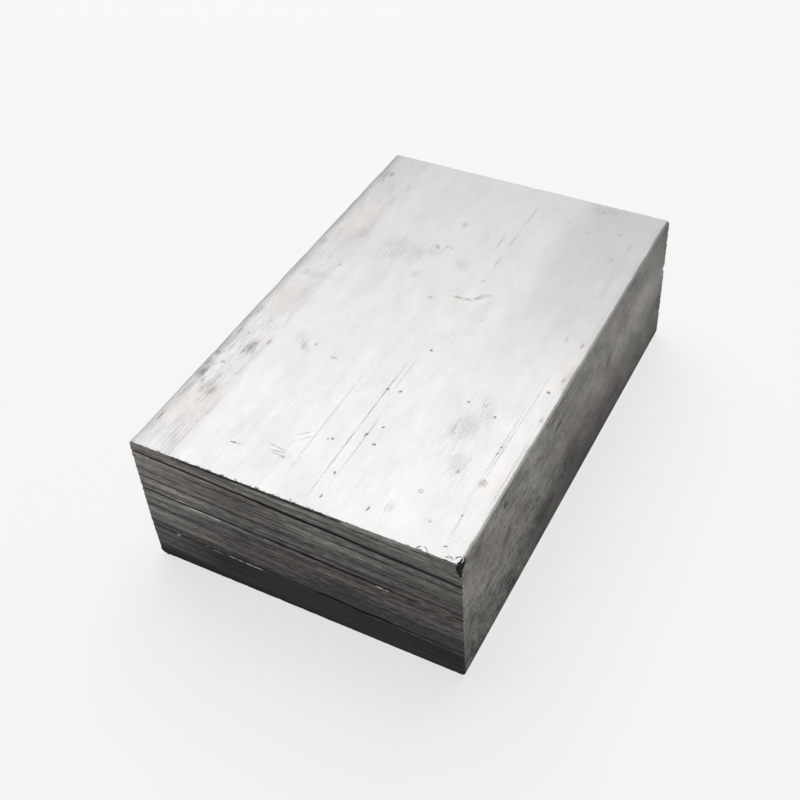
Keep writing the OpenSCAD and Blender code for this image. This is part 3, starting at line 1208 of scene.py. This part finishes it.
    def marked_blank(self, add: Add, given: Any) -> bpy.types.Node:
        """Marks the sawn faces, their sharp outline and the way in from it, while the blank is still square.

        Args:
            add: Adds a node to the tree.
            given: The tree's inputs.

        Returns:
            The node that gives the marked blank.
        """
        x, y, z = add("SPLIT", add("POSITION")).outputs
        half_w = add("MULTIPLY", given["Width"], 0.5)
        half_l = add("MULTIPLY", given["Length"], 0.5)
        from_end = add("SUBTRACT", half_l, add("ABSOLUTE", y))
        from_side = add("SUBTRACT", half_w, add("ABSOLUTE", x))
        from_top = add("SUBTRACT", given["Thickness"], z)
        from_face = add("MINIMUM", from_top, z)
        from_flank = add("MINIMUM", from_side, from_face)
        inset = add("ADD", from_end, from_flank)
        normal = add("SPLIT", add("NORMAL")).outputs[1]
        faced = add("GREATER_THAN", add("ABSOLUTE", normal), 0.9)
        angle = add("GeometryNodeInputMeshEdgeAngle").outputs[0]
        bent = add("GREATER_THAN", angle, 1.0)
        at_end = add("LESS_THAN", from_end, 0.01)
        outline = add("MULTIPLY", bent, at_end)
        made = add("GeometryNodeSetShadeSmooth", given["Geometry"], outline, False, domain="EDGE")
        made = add("STORE", made, None, "outline", outline, data_type="BOOLEAN", domain="EDGE")
        made = add("STORE", made, None, "sawn", faced, data_type="BOOLEAN", domain="FACE")
        made = add("STORE", made, None, "inset", inset)
        return add("STORE", made, None, "from_end", from_end)

    def leaned_rows(self, add: Add, made: Any, given: Any) -> bpy.types.Node:
        """Leans the grid's rows near the sawn ends to run with the scored lines.

        Args:
            add: Adds a node to the tree.
            made: What is made so far.
            given: The tree's inputs.

        Returns:
            The node that gives the leaned blank.
        """
        x, _, z = add("SPLIT", add("POSITION")).outputs
        fall = sum(line.fall for line in SCORED_LINES) / len(SCORED_LINES) / self.width
        from_end = add("READ", "from_end")
        near = add("EASE", from_end, self.lean_reach, 0.0)
        level = add("RANGE", z, 0.0, given["Thickness"], -1.0, 1.0)
        middle = add("SUBTRACT", 1.0, add("POWER", level, 6.0))
        amount = add("MULTIPLY", add("MULTIPLY", near, middle), -fall)
        shift = add("MULTIPLY", x, amount)
        return add("MOVE", made, None, None, add("JOIN", 0.0, 0.0, shift))

    def die_lines(self, add: Add, made: Any, given: Any) -> bpy.types.Node:
        """Draws the die's grooves along the top face.

        Args:
            add: Adds a node to the tree.
            made: What is made so far.
            given: The tree's inputs.

        Returns:
            The node that gives the grooved blank.
        """
        x, y, z = add("SPLIT", add("POSITION")).outputs
        from_top = add("SUBTRACT", given["Thickness"], z)
        on_top = add("LESS_THAN", from_top, 0.005)
        total: Any = 0.0
        for line in DIE_LINES:
            across = line.across - self.width / 2
            middle = (line.start + line.stop - self.length) / 2
            half = (line.stop - line.start) / 2
            away = add("ABSOLUTE", add("SUBTRACT", x, across))
            groove = add("RANGE", away, line.width / 2, 0.0)
            along = add("ABSOLUTE", add("SUBTRACT", y, middle))
            within = add("RANGE", along, half - 4.0, half + 4.0, -line.depth, 0.0)
            total = add("MULTIPLY_ADD", groove, within, total)
        made = add("STORE", made, on_top, "groove", total)
        return add("MOVE", made, on_top, None, add("JOIN", 0.0, 0.0, total))

    def rounded_edges(self, add: Add, made: Any, given: Any) -> bpy.types.Node:
        """Rounds the four long edges to the die's radii.

        Args:
            add: Adds a node to the tree.
            made: What is made so far.
            given: The tree's inputs.

        Returns:
            The node that gives the rounded bar.
        """
        position = add("POSITION")
        low_half = add("LESS_THAN", add("SPLIT", position).outputs[2], self.thickness / 2)
        radius = add("RANGE", low_half, 0.0, 1.0, given["Edge Radius"], given["Lower Radius"])
        reach = add("MULTIPLY_ADD", given["Width"], 0.5, add("MULTIPLY", radius, -1.0))
        roof = add("SUBTRACT", given["Thickness"], radius)
        high = add("JOIN", reach, given["Length"], roof)
        back = add("MULTIPLY", reach, -1.0)
        behind = add("MULTIPLY", given["Length"], -1.0)
        low = add("JOIN", back, behind, radius)
        core = add("VECTOR_MAXIMUM", add("VECTOR_MINIMUM", position, high), low)
        spoke = add("VECTOR_SUBTRACT", position, core)
        sides = add("SPLIT", add("VECTOR_ABSOLUTE", spoke)).outputs
        wider = add("MAXIMUM", sides[0], sides[2])
        share = add("DIVIDE", wider, add("VECTOR_LENGTH", spoke))
        rounded = add("VECTOR_ADD", add("VECTOR_SCALE", spoke, share), core)
        made = add("MOVE", made, None, rounded)
        x, y, z = add("SPLIT", position).outputs
        wave = add("NOISE", add("JOIN", add("SIGN", x), y, 0.0), 0.09, 2.0, 0.6)
        left, right = self.edge_wear
        deepest = add("RANGE", x, -1.0, 1.0, -left, -right)
        worn = add("RANGE", wave, 0.38, 0.66, 0.0, deepest)
        from_side = add("MULTIPLY_ADD", given["Width"], 0.5, add("MULTIPLY", add("ABSOLUTE", x), -1.0))
        from_top = add("SUBTRACT", given["Thickness"], z)
        near = add("RANGE", add("ADD", from_side, from_top), 2.5, 0.0)
        amount = add("MULTIPLY", worn, near)
        inward = add("MULTIPLY", amount, add("SIGN", x))
        return add("MOVE", made, None, None, add("JOIN", inward, 0.0, amount))

    def sawn_relief(self, add: Add, made: Any, given: Any) -> bpy.types.Node:
        """Cuts the scored lines, the teeth's ridges and the leaning last strip into both ends.

        Args:
            add: Adds a node to the tree.
            made: What is made so far.
            given: The tree's inputs.

        Returns:
            The node that gives the sawn bar.
        """
        x, y, z = add("SPLIT", add("POSITION")).outputs
        cut: Any = 0.0
        lip: Any = 0.0
        line_tree = self.scored_line_group()
        for line in SCORED_LINES:
            values = {
                "Middle": self.thickness - line.drop, "Slope": line.fall / self.width,
                "Start": line.start - self.width / 2, "Stop": line.stop - self.width / 2,
                "Half Width": line.width / 2, "Depth": line.depth, "Broken": line.broken,
                "Lip Start": line.lip[0] - self.width / 2, "Lip Stop": line.lip[1] - self.width / 2,
                "End": float(line.end.value)}
            drawn = add("GROUP", node_tree=line_tree, named=values).outputs
            cut = add("MAXIMUM", cut, drawn["Cut"])
            lip = add("MAXIMUM", lip, drawn["Lip"])
        side = add("SIGN", y)
        sheared = add("MULTIPLY_ADD", x, self.teeth_fall / self.width, z)
        last = add("RANGE", sheared, self.thickness - LAST_LINE, 0.0)
        lean = add("MULTIPLY", last, given["Setback"])
        run = add("JOIN", add("MULTIPLY", x, 0.02), add("MULTIPLY", side, APART), sheared)
        teeth = add("NOISE", run, add("DIVIDE", 1.0, given["Ridge Pitch"]), 3.0, 0.62)
        from_side = add("SUBTRACT", self.width / 2, add("ABSOLUTE", x))
        smooth = add("MULTIPLY", add("RANGE", last, 0.0, 0.05, 1.0, 0.3),
                     add("RANGE", from_side, 0.0, 4.0, 0.1, 1.0))
        ridges = add("MULTIPLY", add("SUBTRACT", teeth, 0.5), given["Ridge Depth"])
        ridged = add("MULTIPLY", ridges, smooth)
        depth = add("ADD", cut, lean)
        depth = add("ADD", depth, ridged)
        depth = add("MULTIPLY_ADD", lip, -self.lip_height, depth)
        from_end = add("READ", "from_end")
        near = add("EASE", from_end, self.relief_reach, 0.0)
        inward = add("MULTIPLY", add("MULTIPLY", depth, near), add("MULTIPLY", side, -1.0))
        made = add("STORE", made, None, "score", add("MULTIPLY", cut, 2.5))
        made = add("STORE", made, None, "lip", lip)
        made = add("STORE", made, None, "dent", 0.0)
        return add("MOVE", made, None, None, add("JOIN", 0.0, inward, 0.0))

    def burred(self, add: Add, made: Any, given: Any) -> bpy.types.Node:
        """Bites the sawn outline where metal tore away, and turns a ragged burr out where it stayed.

        Args:
            add: Adds a node to the tree.
            made: What is made so far.
            given: The tree's inputs.

        Returns:
            The node that gives the burred bar.
        """
        position = add("POSITION")
        _, y, z = add("SPLIT", position).outputs
        inset = add("READ", "inset")
        rim = add("EASE", inset, self.rim_reach, 0.0)
        high = add("RANGE", z, 0.0, given["Thickness"], 0.3, 1.0)
        wave = add("NOISE", position, 0.16, 2.0, 0.6)
        nibble = add("NOISE", position, 0.55, 3.0, 0.7)
        bitten = add("MULTIPLY", add("RANGE", nibble, 0.5, 0.72), add("RANGE", wave, 0.38, 0.6))
        bite = add("MULTIPLY", add("MULTIPLY", bitten, given["Nibble Depth"]), -1.0)
        ragged = add("NOISE", position, 0.8, 3.0, 0.75)
        raised = add("MULTIPLY_ADD", add("RANGE", ragged, 0.5, 0.72), given["Burr Height"], bite)
        amount = add("MULTIPLY", add("MULTIPLY", rim, raised), high)
        out = add("VECTOR_SCALE", add("NORMAL"), amount)
        rise = add("RANGE", y, -1.0, 1.0, 1.0, 0.1)
        out = add("VECTOR_MULTIPLY", out, add("JOIN", 1.0, 1.0, rise))
        return add("MOVE", made, None, None, out)

    def crumbs(self, add: Add, made: Any, given: Any) -> bpy.types.Node:
        """Hangs torn crumbs of metal on the sawn outline, most of them along the top.

        Args:
            add: Adds a node to the tree.
            made: What is made so far.
            given: The tree's inputs.

        Returns:
            The node that gives the crumbs.
        """
        outline = add("READ", "outline", data_type="BOOLEAN")
        curve = add("GeometryNodeMeshToCurve", made, outline)
        points = add("GeometryNodeCurveToPoints", curve, given["Crumb Pitch"], mode="LENGTH")
        place = add("SPLIT", add("POSITION")).outputs
        ends = add("RANGE", place[1], -1.0, 1.0, self.crumb_share, 0.0)
        upper = add("RANGE", place[2], add("SUBTRACT", given["Thickness"], 1.0), given["Thickness"], 0.004,
                    ends)
        chosen = add("FunctionNodeRandomValue", named={"Seed": given["Seed"]}, data_type="FLOAT")
        picked = add("COMPARE", chosen.outputs[1], upper)
        crumb = add("GeometryNodeMeshUVSphere", 6, 4, 0.5)
        size = add("FunctionNodeRandomValue", *self.crumb_sizes, None, 3, data_type="FLOAT_VECTOR")
        placed = add("GeometryNodeInstanceOnPoints", points.outputs["Points"], picked, crumb, None, None,
                     points.outputs["Rotation"], size)
        real = add("REALIZE", placed)
        grain = add("NOISE", add("POSITION"), 2.2, 2.0)
        shift = add("RANGE", grain, 0.3, 0.7, -0.18, 0.18)
        out = add("VECTOR_SCALE", add("NORMAL"), shift)
        real = add("MOVE", real, None, None, out)
        curl_tree = self.curl_group()
        torn = []
        for curl in CURLS:
            across, along, down = curl.place
            place = (across - self.width / 2, along - self.length / 2, self.thickness - down)
            torn.append(add("GROUP", place, curl.radius, math.radians(curl.start), math.radians(curl.sweep),
                            curl.thickness, curl.bright, node_tree=curl_tree))
        return add("STORE", add("MERGE", [*torn, real]), None, "crumb", True, data_type="BOOLEAN",
                   domain="FACE")

    def curl_group(self) -> bpy.types.NodeTree:
        """Makes the group that bends one curl of burr.

        Returns:
            The group, which gives the curl.
        """
        sizes = ("Radius", "Start", "Sweep", "Thickness", "Bright")
        inputs = {"Place": "Vector", **dict.fromkeys(sizes, "Float")}
        tree = new_group("curl", inputs, {"Geometry": "Geometry"})
        add = partial(add_node, tree)
        given = add("GIVEN").outputs
        arc = add("GeometryNodeCurveArc", 10, given["Radius"], given["Start"], given["Sweep"])
        round_bar = add("GeometryNodeCurvePrimitiveCircle", 6, mode="RADIUS",
                        named={"Radius": add("MULTIPLY", given["Thickness"], 0.5)})
        bent = add("GeometryNodeCurveToMesh",
                   named={"Curve": arc, "Profile Curve": round_bar, "Fill Caps": True})
        grain = add("NOISE", add("VECTOR_ADD", add("POSITION"), given["Place"]), 0.9, 2.0)
        tipped = add("JOIN", 0.0, 0.0, add("RANGE", grain, 0.3, 0.7, -0.3, 0.3))
        waved = add("MOVE", bent, None, None, tipped)
        # The curl's painted highlight rides in the lip attribute.
        waved = add("STORE", waved, None, "lip", given["Bright"])
        add("RESULT", add("GeometryNodeTransform", waved, named={"Translation": given["Place"]}))
        return tree

    def build(self) -> bpy.types.Object:
        """Shapes the blank into the finished bar.

        Returns:
            The bar as a plain mesh, in metres.
        """
        blank = self.blank()
        modifier = blank.modifiers.new("shape", "NODES")
        modifier.node_group = self.tree()
        for item in modifier.node_group.interface.items_tree:
            if item.in_out == "INPUT" and item.name != "Geometry":
                modifier[item.identifier] = getattr(self, item.name.lower().replace(" ", "_"))
        shaped = blank.evaluated_get(bpy.context.evaluated_depsgraph_get())
        mesh = bpy.data.meshes.new_from_object(shaped)
        mesh.name = PIECE
        bpy.data.objects.remove(blank)
        return new_object(PIECE, mesh)


@dataclass(frozen=True)
class Studio:
    """A pale floor under one large soft light, behind and to the left of the bar. Sizes are in metres.

    Attributes:
        azimuth: Direction of the light, in degrees from the bar's front end, going round by the right.
        elevation: Height of the light above the floor, in degrees.
        distance: Distance of the light from the bar.
        size: Side of the square light.
        radiance: Brightness of the light's face.
        fill: Brightness of the room round the bar.
        wall: Brightness of the room's pale walls, where one is white.
        wall_height: Sine of the angle up to which the walls reach.
        wall_fade: How much higher their brightness has faded out.
        floor_reach: Half the floor's side.
    """

    azimuth: float = 209.6
    elevation: float = 60.0
    distance: float = 2.4
    size: float = 2.8
    radiance: float = 2.4
    fill: float = 0.2
    wall: float = 0.82
    wall_height: float = 0.28
    wall_fade: float = 0.12
    floor_reach: float = 6.0

    def floor(self) -> None:
        """Makes the floor."""
        reach = self.floor_reach
        corners = [(-reach, -reach, 0), (reach, -reach, 0), (reach, reach, 0), (-reach, reach, 0)]
        mesh = bpy.data.meshes.new("studio_floor")
        mesh.from_pydata(corners, [], [(0, 1, 2, 3)])
        mesh.materials.append(FloorPaint().make())
        new_object("studio_floor", mesh)

    def softbox(self, centre: Vector) -> None:
        """Makes the light.

        Args:
            centre: The middle of the bar.
        """
        lamp = bpy.data.lights.new("softbox", "AREA")
        lamp.shape = "SQUARE"
        lamp.size = self.size
        lamp.energy = self.radiance * math.pi * self.size ** 2
        towards = direction(self.azimuth, self.elevation)
        softbox = new_object("softbox", lamp)
        softbox.location = centre + towards * self.distance
        softbox.rotation_euler = towards.to_track_quat("Z", "Y").to_euler()
        softbox.visible_camera = False

    def room(self) -> None:
        """Makes the dim room, whose pale walls the camera and the metal see."""
        world = bpy.data.worlds.new("studio_room")
        world.use_nodes = True
        tree = world.node_tree
        add = partial(add_node, tree)
        background = tree.nodes["Background"]
        background.inputs["Color"].default_value = (1.0, 1.0, 1.0, 1.0)
        height = add("SPLIT", add("COORDINATES").outputs["Generated"]).outputs[2]
        wall = add("EASE", height, self.wall_height + self.wall_fade, self.wall_height)
        seen = add("MULTIPLY", wall, seen_or_mirrored(add))
        feed(tree, background.inputs["Strength"], add("RANGE", seen, 0.0, 1.0, self.fill, self.wall))
        bpy.context.scene.world = world


@dataclass(frozen=True)
class Viewpoint:
    """The camera, above the front end and to its right. Lengths are in metres and angles in degrees.

    Attributes:
        azimuth: How far right of the front end it stands.
        elevation: How far it looks down.
        roll: How far it is turned about its own axis.
        distance: From the point it is aimed at.
        aim: That point, across and along from the bar's middle.
        lens: Its focal length in millimetres.
        shift: Its sideways and upward shift.
    """

    azimuth: float = 29.56
    elevation: float = 42.73
    roll: float = -3.48
    distance: float = 0.3948
    aim: tuple[float, float] = (-0.00285, 0.00134)
    lens: float = 54.33
    shift: tuple[float, float] = (-0.025, -0.03125)

    def make(self, centre: Vector) -> None:
        """Makes the camera.

        Args:
            centre: The middle of the bar.
        """
        back = direction(self.azimuth, self.elevation)
        data = bpy.data.cameras.new("camera")
        data.lens = self.lens
        data.shift_x, data.shift_y = self.shift
        camera = new_object("camera", data)
        place = Matrix.Translation(centre + Vector((*self.aim, 0.0)) + back * self.distance)
        turned = back.to_track_quat("Z", "Y").to_matrix().to_4x4()
        camera.matrix_world = place @ turned @ Matrix.Rotation(math.radians(self.roll), 4, "Z")
        bpy.context.scene.camera = camera


def main() -> None:
    """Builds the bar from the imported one's size, dresses it and sets the studio round it."""
    logging.basicConfig(level=logging.INFO, format="%(name)s: %(message)s")
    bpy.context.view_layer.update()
    bpy.context.scene.view_settings.view_transform = "Standard"
    low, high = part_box("flat_bar")
    centre = (low + high) / 2
    width, length, thickness = (high - low) / MM
    skin = MillFinish(width=width, length=length, thickness=thickness).make()
    sawn = SawnFinish(width=width, thickness=thickness).make()
    bar = SawnBar(width, length, thickness, skin, sawn, TornEdge().make()).build()
    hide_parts("flat_bar")
    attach(bar, "root")
    triangles = sum(len(polygon.vertices) - 2 for polygon in bar.data.polygons)
    LOG.info("%s: %d triangles", bar.name, triangles)
    studio = Studio()
    studio.floor()
    studio.softbox(centre)
    studio.room()
    Viewpoint().make(centre)


if __name__ == "__main__":
    main()
